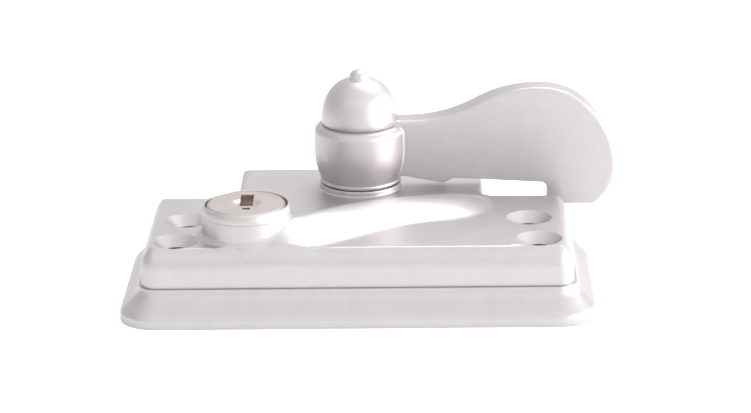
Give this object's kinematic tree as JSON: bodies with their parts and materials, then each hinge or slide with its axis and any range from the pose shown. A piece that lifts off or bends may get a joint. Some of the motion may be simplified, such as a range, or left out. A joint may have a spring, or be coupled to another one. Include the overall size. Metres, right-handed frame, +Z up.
{
  "type": "sash pivot lock",
  "caption": "Keyed sash fastener: a cast case on a moulded riser, with a flag-shaped swing lever on a domed post and a round key cylinder.",
  "frame": {"origin": "centre of the riser's footprint, on its underside", "axes": "+Z up out of the sash rail, +X along the meeting rail towards the lever's tip at rest, -Y towards the room"},
  "size_m": [0.0897, 0.0525, 0.0356],
  "materials": {
    "satin_casting": "satin plate over a zinc casting",
    "nickel_plug": "fine turned nickel plate",
    "brass_parts": "plain turned and stamped brass",
    "steel_parts": "bright zinc-plated steel",
    "plated_sheet": "plain pressed sheet"
  },
  "bodies": {
    "case": {"base_plate": "satin_casting", "lock_body": "satin_casting", "cover_plate": "plated_sheet", "cover_screws": "steel_parts", "cylinder_sleeve": "brass_parts", "arm_pivot_pin": "steel_parts", "pivot_bush": "brass_parts", "thrust_washer": "steel_parts", "spring_washer": "steel_parts"},
    "lever": {"lever": "satin_casting", "acorn_cap": "satin_casting", "spindle": "steel_parts", "locking_disc": "steel_parts", "spindle_clip": "steel_parts"},
    "plug": {"cylinder_plug": "nickel_plug", "cam": "steel_parts", "wafer_1": "brass_parts", "wafer_2": "brass_parts", "wafer_3": "brass_parts", "wafer_4": "brass_parts", "wafer_spring": "steel_parts"},
    "arm": {"locking_arm": "steel_parts"}
  },
  "joints": [
    {"name": "lever_swing", "type": "hinge", "parent": "case", "child": "lever", "pos_m": [0, 0.0237, 0.0143], "axis": [0, 0, 1], "range_deg": [0, 90]},
    {"name": "key_turn", "type": "hinge", "parent": "case", "child": "plug", "pos_m": [-0.01965, -0.00395, 0.01885], "axis": [0, 0, 1], "range_deg": [0, 90]},
    {"name": "arm_swing", "type": "hinge", "parent": "case", "child": "arm", "pos_m": [0.017, 0.011, 0.009], "axis": [0, 0, 1], "range_deg": [-6.6, 0]}
  ],
  "couplings": [
    {"joint": "arm_swing", "follows": "key_turn", "ratio": -0.07202}
  ]
}
